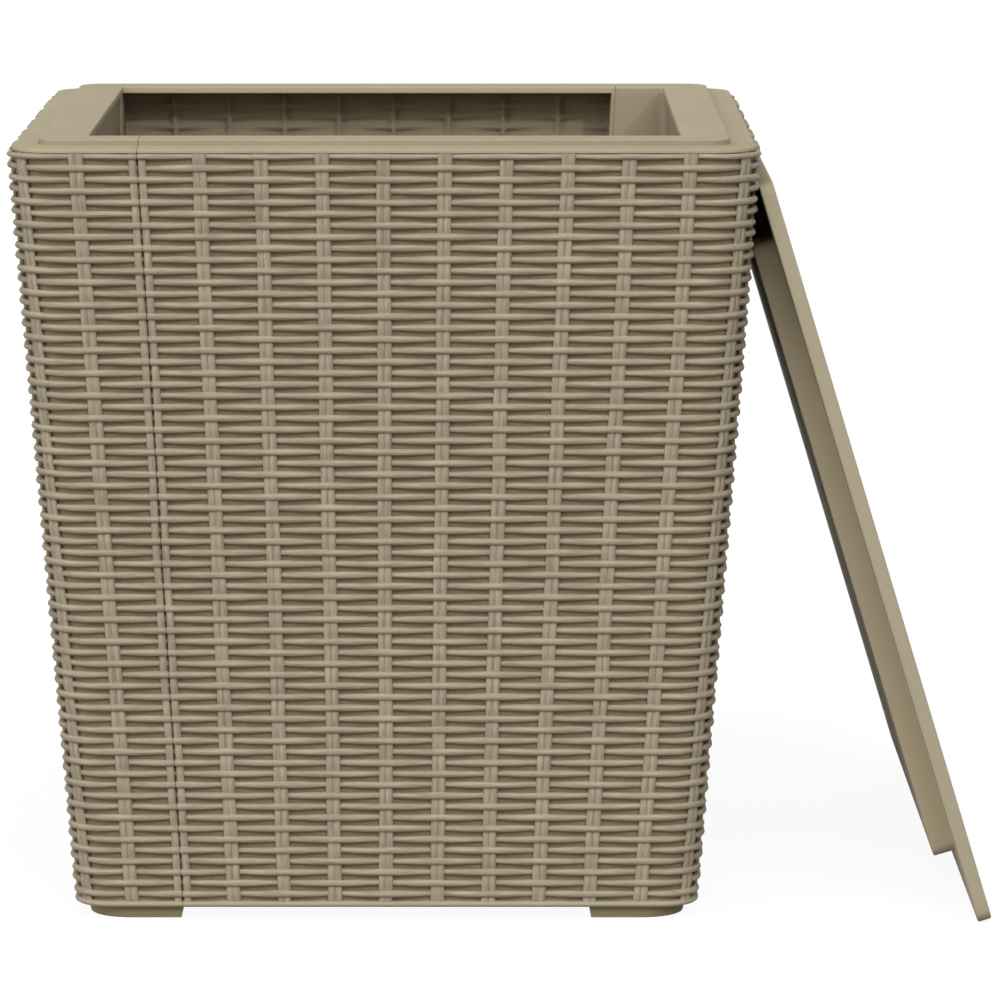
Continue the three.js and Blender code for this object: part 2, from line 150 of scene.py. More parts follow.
resinColours = {
    "rim": (0.462, 0.397, 0.261),
    # step: a darker resin for the raised border's upright step face, painted shade for the dimmer light
    # on that face
    "step": (0.33, 0.281, 0.206),
    "strand": (0.415, 0.353, 0.252),
    # wall: a darker resin for the wall floor between the strands, painted shade for the shade in the gaps
    "wall": (0.33, 0.262, 0.158),
    # panel: a darker resin for the inside of the well, painted shade inside the box
    "panel": (0.352, 0.288, 0.199),
    # rib: a much lighter resin for the ribs inside the weave's back, a painted highlight
    "rib": (0.8, 0.69, 0.52),
    "lid": (0.447, 0.388, 0.268),
    # pan: a lighter resin than the lid's, painted light that lifts the pan's shaded field wall
    "pan": (0.52, 0.445, 0.3),
    "foot": (0.38, 0.31, 0.193),
}
plainFinish = {
    "fibres": False, "cloudScale": 9.0, "cloudDetail": 3.0, "cloudShare": 0.35,
    "grainStretch": (1, 1, 1), "grainScale": 420.0, "grainDetail": 4.0, "grainHarshness": 0.6,
    "grainStrength": 0.12, "grainDepth": 0.0004,
    "pebbleScale": 1900.0, "pebbleDetail": 2.0, "pebbleStrength": 0.25, "pebbleDepth": 0.0002,
    "darkAt": 0.3, "lightAt": 0.7, "darkest": 0.93, "lightest": 1.05,
    "roughest": 0.66, "smoothest": 0.54, "ior": 1.46, "specular": 0.08,
}
strandFinish = dict(
    plainFinish, fibres=True, cloudScale=45.0, cloudShare=0.75, grainStretch=(38, 460, 1),
    grainScale=1.0, grainStrength=0.7, grainDepth=0.0007, darkest=0.66, lightest=1.24, specular=0.2)
resins = {}
for part, colour in resinColours.items():
    resins[part] = mouldedResin(part + "Resin", colour, strandFinish if part == "strand" else plainFinish)

zincFinish = {
    "spangleScale": 900.0, "dark": (0.5, 0.5, 0.49, 1), "light": (0.62, 0.62, 0.6, 1),
    "smoothest": 0.28, "roughest": 0.42,
}


def zincSteel():
    material = bpy.data.materials.new("zincSteel")
    add = nodeMaker(clearedTree(material))
    place = add("ShaderNodeTexCoord").outputs["Object"]
    spangle = add("ShaderNodeTexVoronoi", {"Vector": place, "Scale": zincFinish["spangleScale"]})
    tones = add("ShaderNodeValToRGB", {"Fac": spangle.outputs["Distance"]})
    tones.color_ramp.elements[0].color = zincFinish["dark"]
    tones.color_ramp.elements[1].color = zincFinish["light"]
    gloss = add("ShaderNodeMapRange", {
        "Value": spangle.outputs["Distance"],
        "To Min": zincFinish["smoothest"], "To Max": zincFinish["roughest"]})
    surface = add("ShaderNodeBsdfPrincipled", {
        "Base Color": tones.outputs["Color"], "Roughness": gloss.outputs["Result"], "Metallic": 1.0})
    add("ShaderNodeOutputMaterial", {"Surface": surface.outputs["BSDF"]})
    return material


zinc = zincSteel()
print("materials ready")


# Pieces from meshes
def meshPiece(name, mesh, material, body, nodes=()):
    piece = bpy.data.objects.new(name, mesh)
    bpy.context.scene.collection.objects.link(piece)
    if material is not None:
        mesh.materials.clear()
        mesh.materials.append(material)
    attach(piece, body)
    if nodes:
        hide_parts(*nodes)
    return piece


def smoothMesh(mesh, angle=32):
    mesh.polygons.foreach_set("use_smooth", [True] * len(mesh.polygons))
    mesh.set_sharp_from_angle(angle=math.radians(angle))
    mesh.update()


def onBothHalves(name, mesh, material):
    for hand, turn in (("right", 0), ("left", math.pi)):
        placed = mesh.copy()
        placed.transform(Matrix.Translation(boxMiddle) @ Matrix.Rotation(turn, 4, "Z"))
        meshPiece(name + "_" + hand, placed, material, "body", ["body_half_" + hand])


def meshFrom(name, points, faces):
    mesh = bpy.data.meshes.new(name)
    mesh.from_pydata([tuple(p) for p in points], [], faces)
    mesh.validate()
    return mesh


def filleted(corners, steps=4):  # corners of a closed outline, each with the radius that rounds it
    outline = []
    for i, (x, z, radius) in enumerate(corners):
        here = Vector((x, z))
        if radius == 0:
            outline.append(here)
            continue
        before = (Vector(corners[i - 1][:2]) - here).normalized()
        after = (Vector(corners[(i + 1) % len(corners)][:2]) - here).normalized()
        spread = before.angle(after) / 2
        centre = here + (before + after).normalized() * radius / math.sin(spread)
        start = here + before * radius / math.tan(spread) - centre
        end = here + after * radius / math.tan(spread) - centre
        for step in range(steps + 1):
            outline.append(centre + start.lerp(end, step / steps).normalized() * radius)
    return outline


def drawnIn(outline, distance):  # an outline moved in along its corners' normals
    moved = []
    for i, here in enumerate(outline):
        run = (Vector(outline[(i + 1) % len(outline)]) - Vector(outline[i - 1])).normalized()
        moved.append(Vector(here) + Vector((-run.y, run.x)) * distance)
    return moved


def sweptHalf(name, outline, radiusAt, endBevel=0.0, cornerSteps=14):
    ends = [(endBevel, 0.0), (0.0, endBevel)] if endBevel else [(0.0, 0.0)]
    ends = [(drawnIn(outline, drawn), tankBox["seamGap"] / 2 + fromEnd) for drawn, fromEnd in ends]
    rings = []
    for shape, fromSeam in ends:
        rings.append([onSide(0, fromSeam - seamAt(z), half, z) for half, z in shape])
    for side in (0, 1):
        for step in range(cornerSteps + 1):
            angle = step * math.pi / 2 / cornerSteps
            ring = []
            for half, z in outline:
                radius = radiusAt(half, z)
                middle = half - radius
                along = middle + radius * math.sin(angle)
                ring.append(onSide(side, along, middle + radius * math.cos(angle), z))
            rings.append(ring)
    for shape, fromSeam in reversed(ends):
        rings.append([onSide(2, -fromSeam - seamAt(z), half, z) for half, z in shape])
    count = len(outline)
    points = [point for ring in rings for point in ring]
    faces = [tuple(reversed(range(count))), tuple(range(len(points) - count, len(points)))]
    for ring in range(len(rings) - 1):
        for i in range(count):
            here, following = ring * count + i, ring * count + (i + 1) % count
            faces.append((here, following, following + count, here + count))
    return meshFrom(name, points, faces)


def faceOut(mesh):
    work = bmesh.new()
    work.from_mesh(mesh)
    bmesh.ops.recalc_face_normals(work, faces=work.faces)
    work.to_mesh(mesh)
    work.free()


# Rim band, raised border and the edge of the opening
rim = {
    "outer": 0.25, "borderOuter": 0.233, "borderDraft": 0.0006, "borderTop": 0.5386,
    "thickness": 0.003, "endBevel": 0.0003, "underRound": 0.0005, "edgeRound": 0.0011,
    "stepRound": 0.0007, "borderRound": 0.0009, "lipRound": 0.0008, "innerRound": 0.0004,
    "uprightBelow": 0.3,
    "radii": ((0.2, 0.002), (0.233, 0.018), (0.25, 0.029)),  # half width and its corner radius
}


def rimRadiusAt(half, z):
    for (inner, innerRadius), (outer, outerRadius) in zip(rim["radii"], rim["radii"][1:]):
        if half <= outer:
            share = (half - inner) / (outer - inner)
            return innerRadius + (outerRadius - innerRadius) * share
    return rim["radii"][-1][1]


rimOutline = filleted([
    (rim["outer"], tankBox["wickerTop"], rim["underRound"]),
    (rim["outer"], tankBox["rimTop"], rim["edgeRound"]),
    (rim["borderOuter"], tankBox["rimTop"], rim["stepRound"]),
    (rim["borderOuter"] - rim["borderDraft"], rim["borderTop"], rim["borderRound"]),
    (tankBox["openingHalf"], rim["borderTop"], rim["lipRound"]),
    (tankBox["openingHalf"], tankBox["rimTop"], rim["innerRound"]),
    (rim["borderOuter"] - rim["thickness"], tankBox["rimTop"], 0),
    (rim["borderOuter"] - rim["thickness"], tankBox["wickerTop"], 0),
])
rimMesh = sweptHalf("rim", rimOutline, rimRadiusAt, rim["endBevel"])
faceOut(rimMesh)
smoothMesh(rimMesh)
# The rim's second slot, the darker step resin, paints shade onto the upright step face beside the border
for part in ("rim", "step"):
    rimMesh.materials.append(resins[part])
stepInner = rim["borderOuter"] - 2 * rim["borderDraft"]
for face in rimMesh.polygons:
    reach = max(abs(face.center.x), abs(face.center.y))
    steep = abs(face.normal.z) < rim["uprightBelow"]
    besideBorder = tankBox["rimTop"] < face.center.z < rim["borderTop"]
    onCorner = min(abs(face.center.x), abs(face.center.y)) > rim["borderOuter"] - rim["radii"][1][1]
    if steep and besideBorder and (reach > stepInner or onCorner):
        face.material_index = 1
onBothHalves("rim", rimMesh, None)
print("rim made")

# Wall behind the weave, with the plain bead along the bottom
wall = {
    "floor": 0.0049, "back": 0.0072, "intoRim": 0.001,
    "beadHeight": 0.0046, "beadOut": 0.0002, "beadRoundness": 0.6, "beadSteps": 6,
}
bottom = tankBox["wickerBottom"]
beadTop = bottom + wall["beadHeight"]
wallTop = tankBox["wickerTop"] + wall["intoRim"]
wallOutline = [
    (tankBox["halfTop"] - wall["floor"], wallTop),
    (wickerHalfAt(beadTop) - wall["floor"], beadTop),
]
for step in range(wall["beadSteps"] + 1):
    angle = math.pi / 2 - step * math.pi / wall["beadSteps"]
    z = bottom + wall["beadHeight"] / 2 * (1 + math.sin(angle))
    bulge = max(0, math.cos(angle)) ** wall["beadRoundness"]
    wallOutline.append((wickerHalfAt(z) - wall["floor"] + (wall["floor"] + wall["beadOut"]) * bulge, z))
wallOutline += [
    (tankBox["halfBottom"] - wall["back"], bottom),
    (tankBox["halfTop"] - wall["back"], wallTop),
]


def wallRadiusAt(half, z):
    return wickerRadiusAt(z) + half - wickerHalfAt(z)


wallMesh = sweptHalf("wall", wallOutline, wallRadiusAt)
faceOut(wallMesh)
smoothMesh(wallMesh)
# The wall behind the strands takes the darker wall resin, painted shade in the gaps; the bead keeps the
# plain lid resin
for part in ("wall", "lid"):
    wallMesh.materials.append(resins[part])
for face in wallMesh.polygons:
    if face.center.z < beadTop:
        face.material_index = 1
onBothHalves("wall", wallMesh, None)
print("wall made")


# Geometry nodes
class Field:  # a number field in a node tree, so that sums read as sums
    def __init__(self, tree, socket):
        self.tree, self.socket = tree, socket

    def math(self, operation, *others):
        node = self.tree.nodes.new("ShaderNodeMath")
        node.operation = operation
        self.tree.links.new(self.socket, node.inputs[0])
        for socket, value in zip(node.inputs[1:], others):
            if isinstance(value, Field):
                self.tree.links.new(value.socket, socket)
            else:
                socket.default_value = value
        return Field(self.tree, node.outputs[0])

    def __add__(self, other):
        return self.math("ADD", other)

    def __sub__(self, other):
        return self.math("SUBTRACT", other)

    def __mul__(self, other):
        return self.math("MULTIPLY", other)

    def __truediv__(self, other):
        return self.math("DIVIDE", other)

    def sin(self):
        return self.math("SINE")

    def cos(self):
        return self.math("COSINE")

    def floor(self):
        return self.math("FLOOR")

    def power(self, other):
        return self.math("POWER", other)

    def sign(self):
        return self.math("SIGN")

    def size(self):
        return self.math("ABSOLUTE")

    def flattened(self, power):  # a sine or cosine made squarer, its sign kept
        return self.size().power(power) * self.sign()

    def atLeast(self, other):
        return self.math("MAXIMUM", other)

    def atMost(self, other):
        return self.math("MINIMUM", other)


def startTree(name, sizes):
    tree = bpy.data.node_groups.new(name, "GeometryNodeTree")
    tree.interface.new_socket("Geometry", in_out="OUTPUT", socket_type="NodeSocketGeometry")
    for label, value in sizes.items():
        kind = "NodeSocketInt" if isinstance(value, int) else "NodeSocketFloat"
        if isinstance(value, bpy.types.Material):
            kind = "NodeSocketMaterial"
        tree.interface.new_socket(label, in_out="INPUT", socket_type=kind)
    start = tree.nodes.new("NodeGroupInput")
    inputs = {label: Field(tree, start.outputs[label]) for label in sizes}
    return tree, inputs


def growMesh(name, tree, sizes):
    holder = bpy.data.objects.new(name, bpy.data.meshes.new(name))
    bpy.context.scene.collection.objects.link(holder)
    grow = holder.modifiers.new("grow", "NODES")
    grow.node_group = tree
    for item in tree.interface.items_tree:
        if item.in_out == "INPUT" and item.name in sizes:
            grow[item.identifier] = sizes[item.name]
    depsgraph = bpy.context.evaluated_depsgraph_get()
    mesh = bpy.data.meshes.new_from_object(holder.evaluated_get(depsgraph))
    bpy.data.objects.remove(holder)
    mesh.name = name
    return mesh


def placeOfPoint(tree):
    split = tree.nodes.new("ShaderNodeSeparateXYZ")
    spot = tree.nodes.new("GeometryNodeInputPosition")
    tree.links.new(spot.outputs["Position"], split.inputs["Vector"])
    return [Field(tree, split.outputs[axis]) for axis in "XYZ"]


def gridOfRows(tree, rows, spansAlong, spansAround):
    # One grid a row, spread a metre apart, so that a point reads (station, place around, row)
    line = tree.nodes.new("GeometryNodeMeshLine")
    tree.links.new(rows.socket, line.inputs["Count"])
    line.inputs["Offset"].default_value = (0, 0, 1)
    grid = tree.nodes.new("GeometryNodeMeshGrid")
    for label, spans in (("X", spansAlong), ("Y", spansAround)):
        tree.links.new(spans.socket, grid.inputs["Size " + label])
        tree.links.new((spans + 1).socket, grid.inputs["Vertices " + label])
    place = tree.nodes.new("GeometryNodeInstanceOnPoints")
    tree.links.new(line.outputs["Mesh"], place.inputs["Points"])
    tree.links.new(grid.outputs["Mesh"], place.inputs["Instance"])
    real = tree.nodes.new("GeometryNodeRealizeInstances")
    tree.links.new(place.outputs["Instances"], real.inputs["Geometry"])
    x, y, row = placeOfPoint(tree)
    return real.outputs["Geometry"], x + spansAlong / 2, y + spansAround / 2, row


def slabOfCells(tree, stations, levels):  # a closed slab whose points read (station, layer, level)
    size = tree.nodes.new("ShaderNodeCombineXYZ")
    cube = tree.nodes.new("GeometryNodeMeshCube")
    tree.links.new(size.outputs["Vector"], cube.inputs["Size"])
    size.inputs["Y"].default_value = 1
    cube.inputs["Vertices Y"].default_value = 2
    for axis, spans in (("X", stations), ("Z", levels)):
        tree.links.new(spans.socket, size.inputs[axis])
        tree.links.new((spans + 1).socket, cube.inputs["Vertices " + axis])
    x, y, z = placeOfPoint(tree)
    return cube.outputs["Mesh"], x + stations / 2, y + 0.5, z + levels / 2


def roundTop(reach):  # a half circle's height at a share of its reach, and zero outside it
    return (reach * reach * -1 + 1).atLeast(0).power(0.5)


def joinedSpot(tree, x, y, z):
    join = tree.nodes.new("ShaderNodeCombineXYZ")
    for value, socket in zip((x, y, z), join.inputs):
        tree.links.new(value.socket, socket)
    return join.outputs["Vector"]


def pitchAtTop(inputs):  # from one stake to the next along the top course
    corner = inputs["Corner radius"]
    sideLength = (inputs["Half at top"] - corner) * 2 + corner * (math.pi / 2)
    return sideLength / tankBox["stakesPerSide"]


def taperAt(z, inputs):  # the box's width at a height, as a share of its width at the top
    top, low = inputs["Half at top"], inputs["Half at bottom"]
    share = (z - inputs["Bottom"]) / (inputs["Top"] - inputs["Bottom"])
    return (low + (top - low) * share) / top


def roundTheBox(tree, along, outward, z, inputs):
    # A point at a length along the rounded square of the top course, scaled down the taper
    radius, scale = inputs["Corner radius"], taperAt(z, inputs)
    straight = inputs["Half at top"] - radius
    sideLength = straight * 2 + radius * (math.pi / 2)
    side = (along / sideLength + 0.5).floor()
    local = along - side * sideLength
    onStraight = local.atMost(straight).atLeast(straight * -1)
    bend = (local - onStraight) / radius
    reachOut = radius + outward / scale
    x = (onStraight + reachOut * bend.sin()) * scale
    y = (straight + reachOut * bend.cos()) * scale * -1
    turn = side * (math.pi / 2)
    cosine, sine = turn.cos(), turn.sin()
    return joinedSpot(tree, x * cosine - y * sine, x * sine + y * cosine, z)


weldReach = 0.000002


def finishTree(tree, geometry, position, grainAlong, grainAround, material):
    def step(kind, socket, **links):
        node = tree.nodes.new(kind)
        tree.links.new(socket, node.inputs["Geometry"])
        for label, value in links.items():
            tree.links.new(value, node.inputs[label.replace("_", " ")])
        return node

    grain = tree.nodes.new("ShaderNodeCombineXYZ")
    tree.links.new(grainAlong.socket, grain.inputs["X"])
    tree.links.new(grainAround.socket, grain.inputs["Y"])
    kept = step("GeometryNodeStoreNamedAttribute", geometry)
    kept.data_type, kept.domain = "FLOAT2", "CORNER"
    kept.inputs["Name"].default_value = "grain"
    tree.links.new(grain.outputs["Vector"], kept.inputs["Value"])
    moved = step("GeometryNodeSetPosition", kept.outputs["Geometry"], Position=position)
    welded = step("GeometryNodeMergeByDistance", moved.outputs["Geometry"])
    welded.inputs["Distance"].default_value = weldReach
    smooth = step("GeometryNodeSetShadeSmooth", welded.outputs["Geometry"])
    painted = step("GeometryNodeSetMaterial", smooth.outputs["Geometry"], Material=material.socket)
    end = tree.nodes.new("NodeGroupOutput")
    tree.links.new(painted.outputs["Geometry"], end.inputs["Geometry"])


# Courses of the weave: a strand goes over one stake and under the next
boxSizes = {
    "Half at top": tankBox["halfTop"],
    "Half at bottom": tankBox["halfBottom"],
    "Corner radius": tankBox["cornerRadius"],
    "Top": tankBox["wickerTop"],
    "Bottom": tankBox["wickerBottom"],
    "First course": tankBox["firstCourse"],
    "Pitch": tankBox["pitch"],
}
strandSizes = dict(boxSizes, **{
    "Courses": tankBox["courses"],
    "Stakes": 2 * tankBox["stakesPerSide"],
    "Stakes to seam": tankBox["stakesToSeam"],
    "Stations a stake": 7,
    "Points round": 8,
    "Height": 0.0047,
    "Swell": 0.0003,
    "Depth": 0.0055,
    "Crest": 0.001,
    "Tuck": 0.0029,
    "Tuck power": 2.4,
    "Seam gap": tankBox["seamGap"],
    "End inset": 0.0006,
    "End share": 0.86,
    "Top course share": 0.78,
    "Uneven height": 0.06,
    "Uneven front": 0.00012,
    "Uneven level": 0.00015,
    "Resin": resins["strand"],
})
waveSteps = ((2.3, 5.1), (5.7, -2.9))  # of two waves that make the strands unlike, by stake and course
grainSteps = {"round": 0.0018, "course": 0.021, "bar": 0.027}


def fieldBetween(lowest, share):  # from the lowest value at no share to 1 at a full share
    return (lowest * -1 + 1) * share + lowest


def strandTree(sizes):
    tree, inputs = startTree("strandCourses", sizes)
    capRings = 2
    spans = inputs["Stakes"] * inputs["Stations a stake"] + 2 * capRings
    geometry, station, around, course = gridOfRows(
        tree, inputs["Courses"], spans, inputs["Points round"])
    fromEnd = station.atMost(spans - station)
    stake = ((station - capRings) / inputs["Stations a stake"]).atLeast(0).atMost(inputs["Stakes"])
    pitch = pitchAtTop(inputs)
    seamStart = inputs["Stakes to seam"] * pitch * -1
    past = (fromEnd - 1).atLeast(0).atMost(1)
    inset = past * inputs["End inset"] + inputs["Seam gap"] / 2
    along = (seamStart + stake * pitch).atLeast(seamStart + inset)
    along = along.atMost(seamStart + inputs["Stakes"] * pitch - inset)
    ended = fromEnd.atMost(1) * fieldBetween(inputs["End share"], past)
    over = (stake * math.pi).cos() * (course * math.pi).cos()
    first, second = ((stake * byStake + course * byCourse).sin() for byStake, byCourse in waveSteps)
    uneven = (first + second) / 2
    topCourse = fieldBetween(inputs["Top course share"], course.atMost(1))  # half hidden by the rim
    height = (inputs["Height"] + inputs["Swell"] * over) * (uneven * inputs["Uneven height"] + 1)
    height = height * ended * topCourse
    depth = inputs["Depth"] * ended
    # The strand bows out over one stake and dips behind the next
    tucked = ((over * -1 + 1) / 2).power(inputs["Tuck power"])
    front = inputs["Crest"] - inputs["Tuck"] * tucked + uneven * inputs["Uneven front"]
    angle = around / inputs["Points round"] * (2 * math.pi)
    outward = front - inputs["Depth"] / 2 + depth / 2 * angle.cos()
    z = inputs["First course"] - course * inputs["Pitch"] + height / 2 * angle.sin()
    z = z + uneven * inputs["Uneven level"]
    position = roundTheBox(tree, along, outward, z, inputs)
    grainAround = around * grainSteps["round"] + course * grainSteps["course"]
    finishTree(tree, geometry, position, along, grainAround, inputs["Resin"])
    return tree


strandMesh = growMesh("strands", strandTree(strandSizes), strandSizes)
onBothHalves("strands", strandMesh, None)
print("strands grown", len(strandMesh.polygons))

# Stakes: two upright bars each, standing behind the strands that go over them
stakeSizes = dict(boxSizes, **{
    "Bars": 4 * tankBox["stakesPerSide"],
    "Stakes to seam": tankBox["stakesToSeam"],
    "Stations": 3 * tankBox["courses"],
    "Points round": 8,
    "Width": 0.0054,
    "Spread": 0.0022,
    "Seam spread": 0.001,
    "Depth": 0.0034,
    "Set back": 0.0009,
    "Bow": 0.0005,
    "Lean": 0.0002,
    "Side flatness": 0.8,
    "Face flatness": 0.7,
    "Lowest": 0.012,
    "Resin": resins["strand"],
})
wobbleSteps = {"quick": 71, "quickByBar": 2.1, "slow": 23, "slowByStake": 1.3}


def stakeTree(sizes):
    tree, inputs = startTree("stakeBars", sizes)
    geometry, station, around, bar = gridOfRows(
        tree, inputs["Bars"], inputs["Stations"], inputs["Points round"])
    stake = ((bar + 1) / 2).floor()
    hand = (bar * math.pi).cos()
    pitch = pitchAtTop(inputs)
    z = inputs["Lowest"] + (inputs["Top"] - inputs["Lowest"]) * station / inputs["Stations"]
    course = (inputs["First course"] - z) / inputs["Pitch"]
    over = (stake * math.pi).cos() * (course * math.pi).cos()
    angle = (around / inputs["Points round"] - 0.5) * (2 * math.pi)
    wobble = (z * wobbleSteps["quick"] + bar * wobbleSteps["quickByBar"]).sin()
    wobble = wobble + (z * wobbleSteps["slow"] + stake * wobbleSteps["slowByStake"]).sin()
    atSeam = stake.atMost(1) * ((stake - 2 * tankBox["stakesPerSide"]) * -1).atMost(1) * -1 + 1
    spread = inputs["Spread"] + atSeam * inputs["Seam spread"]
    fromMiddle = angle.sin().flattened(inputs["Side flatness"]) * inputs["Width"] / 2
    sideways = hand * spread + wobble * inputs["Lean"] + fromMiddle
    along = (stake - inputs["Stakes to seam"]) * pitch + sideways / taperAt(z, inputs)
    front = inputs["Set back"] * -1 - inputs["Bow"] * over
    roundness = angle.cos().flattened(inputs["Face flatness"])
    outward = front - inputs["Depth"] / 2 + roundness * inputs["Depth"] / 2
    position = roundTheBox(tree, along, outward, z, inputs)
    grainAround = around * grainSteps["round"] + bar * grainSteps["bar"]
    finishTree(tree, geometry, position, z, grainAround, inputs["Resin"])
    return tree


stakeMesh = growMesh("stakes", stakeTree(stakeSizes), stakeSizes)
onBothHalves("stakes", stakeMesh, None)
print("stakes grown", len(stakeMesh.polygons))

# The inside of a main face shows the weave pressed through in reverse
backSizes = dict(boxSizes, **{
    "Stations": 97,
    "Stations a stake": 10,
    "Levels": 6 * tankBox["courses"],
    "Levels a course": 6,
    "Stakes to seam": tankBox["stakesToSeam"],
    "Flange": 0.003,
    "Behind": 0.00725,
    "Ground": 0.0014,
    "Relief": 0.0056,
    "Strand height": 0.0062,
    "Bar place": 0.0026,
    "Bar half width": 0.0024,
    "Rib": 0.0066,
    "Rib half width": 0.0011,
    "Rib draft": 0.0013,
    "Outer face": 0.0062,
    # the inside relief takes the darker panel resin, painted shade inside the well
    "Resin": resins["panel"],
})


def backTree(sizes):
    tree, inputs = startTree("weaveBack", sizes)
    geometry, station, layer, level = slabOfCells(tree, inputs["Stations"], inputs["Levels"])
    pitch = pitchAtTop(inputs)
    step = station / inputs["Stations a stake"]
    crowding = 0.14  # more stations close to a stake
    toStake = ((step - step.floor()) * (2 * math.pi)).sin() * crowding
    stake = step - toStake - inputs["Stakes to seam"]
    seamStart = inputs["Stakes to seam"] * pitch * -1
    along = (stake * pitch).atLeast(seamStart + inputs["Flange"])
    course = level / inputs["Levels a course"] - 0.5
    row = (course + 0.5).floor()
    over = (stake * math.pi).cos() * (row * math.pi).cos()
    across = (course - row) * inputs["Pitch"] / (inputs["Strand height"] / 2)
    # A strand stands out on the inside where it passes behind its stake
    strand = roundTop(across) * (over * -0.5 + 0.5) * inputs["Relief"]
    fromStake = ((stake - (stake + 0.5).floor()) * pitch).size()
    bars = roundTop((fromStake - inputs["Bar place"]) / inputs["Bar half width"])
    ground = (bars * -1 + 1) * inputs["Ground"]
    ribTop = ((inputs["Rib half width"] - fromStake) / inputs["Rib draft"] + 1).atLeast(0).atMost(1)
    rib = ribTop * inputs["Rib"]
    inner = (inputs["Behind"] + ground.atLeast(strand).atLeast(rib)) * -1
    outward = inner + (inner + inputs["Outer face"]) * layer * -1
    z = inputs["First course"] - course * inputs["Pitch"]
    position = roundTheBox(tree, along, outward, z, inputs)
    finishTree(tree, geometry, position, along, z, inputs["Resin"])
    return tree


backMesh = growMesh("weaveBack", backTree(backSizes), backSizes)
faceOut(backMesh)
backMesh.materials.append(resins["rib"])
grainPlaces = backMesh.uv_layers["grain"].data
topPitch = stakePitchAt(tankBox["wickerTop"])
for face in backMesh.polygons:  # the ribs are painted lighter, a painted highlight where they stand out into the light
    along = sum(grainPlaces[loop].uv.x for loop in face.loop_indices) / face.loop_total
    if abs(along - topPitch * round(along / topPitch)) < backSizes["Rib half width"]:
        face.material_index = 1
onBothHalves("weaveBack", backMesh, None)
print("weave back grown", len(backMesh.polygons))


# Skins, flanges and ledges inside a half
def meshOf(name, work):
    mesh = bpy.data.meshes.new(name)
    work.to_mesh(mesh)
    work.free()
    return mesh


def joinMeshes(name, meshes):
    work = bmesh.new()
    for mesh in meshes:
        work.from_mesh(mesh)
    return meshOf(name, work)


edgeAngle = 0.6  # in radians: where two faces turn by more, their edge is bevelled


def stackedRings(name, rings, bevel=0.0):
    work = bmesh.new()
    rows = [[work.verts.new(spot) for spot in ring] for ring in rings]
    work.faces.new(rows[0])
    work.faces.new(rows[-1])
    for lower, upper in zip(rows, rows[1:]):
        for i in range(len(lower)):
            work.faces.new((lower[i - 1], lower[i], upper[i], upper[i - 1]))
    bmesh.ops.recalc_face_normals(work, faces=work.faces)
    if bevel:
        edges = [edge for edge in work.edges if edge.calc_face_angle(0) > edgeAngle]
        bmesh.ops.bevel(work, geom=edges, offset=bevel, segments=2, affect="EDGES", profile=0.5)
    return meshOf(name, work)


inside = {
    "skin": 0.0025, "thickness": 0.003, "flange": 0.003, "rib": 0.005, "flush": 0.00004,
    "lap": 0.0014, "skinTop": 0.5343, "lipTop": 0.5376, "webTop": 0.2165, "bevel": 0.0004,
    "meeting": 0.00002, "behindSkin": 0.0012, "sliver": 0.0008, "fillet": 0.006,
    "filletSteps": 6, "buried": 0.0008, "levels": 11,
}


def backHalfAt(z):
    return wickerHalfAt(z) - wall["back"]


def wallReach(z, across):  # how far the wall's back runs beside its rounded corner, with a lap
    middle = wickerHalfAt(z) - wickerRadiusAt(z)
    radius = wickerRadiusAt(z) - wall["back"] + inside["lap"]
    return middle + math.sqrt(radius ** 2 - max(0, across - middle) ** 2)


def uprightSlab(side, planAt, top, bevel=inside["bevel"]):
    # A plan is places along the side, each with its distance from the box's middle
    rise = (tankBox["wickerTop"] - bottom) / inside["levels"]
    heights = [bottom + rise * step for step in range(inside["levels"] + 1)] + [top]
    rings = [[onSide(side, along, half, z) for along, half in planAt(z)] for z in heights]
    return stackedRings("slab", rings, bevel)


def skinPlan(inner, fromAt, toAt):
    outer = inner + inside["thickness"]

    def planAt(z):
        reach = wallReach(z, outer)
        start, end = max(fromAt(z), -reach), min(toAt(z), reach)
        return [(start, inner), (end, inner), (end, outer), (start, outer)]
    return planAt


def webPlan(fromAt, thickness, setBack=0.0):
    inner = tankBox["openingHalf"] - inside["flush"] + setBack

    def planAt(z):
        start, end = fromAt(z), fromAt(z) + thickness
        if z > tankBox["wickerTop"]:
            return [(start, inner), (end, inner), (end, inside["webTop"]), (start, inside["webTop"])]
        near, far = (max(inner + inside["sliver"], wallReach(z, abs(along))) for along in (start, end))
        return [(start, inner), (end, inner), (end, far), (start, near)]
    return planAt


skinHalf = tankBox["openingHalf"] + inside["skin"]
skinOuter = skinHalf + inside["thickness"]
returnHalf = tankBox["openingHalf"] - inside["flush"]
skinTop, lipTop = inside["skinTop"], inside["lipTop"]


def frontSeam(z):  # the halves' flanges meet at the middle of the seam, a hair apart
    return inside["meeting"] - seamAt(z)


def rearSeam(z):
    return -inside["meeting"] - seamAt(z)


def cornerFillet(z):  # rounds the corner between the return and the side
    radius, buried = inside["fillet"], inside["buried"]
    plan = [(-skinHalf - buried, returnHalf + buried)]
    for step in range(inside["filletSteps"] + 1):
        angle = step * math.pi / 2 / inside["filletSteps"]
        along = -skinHalf + radius * (1 - math.cos(angle))
        plan.append((along, returnHalf - radius * (1 - math.sin(angle))))
    return plan


flange, rib = inside["flange"], inside["rib"]
panels = [
    uprightSlab(1, skinPlan(skinHalf, lambda z: -skinOuter, lambda z: skinOuter), skinTop),
    uprightSlab(2, skinPlan(returnHalf, lambda z: -skinOuter, rearSeam), lipTop),
    uprightSlab(0, webPlan(frontSeam, flange), lipTop),
    uprightSlab(2, webPlan(lambda z: rearSeam(z) - flange, flange, inside["behindSkin"]), lipTop),
    uprightSlab(0, webPlan(lambda z: skinOuter - rib, rib), lipTop),
    uprightSlab(2, cornerFillet, skinTop, 0.0),
]


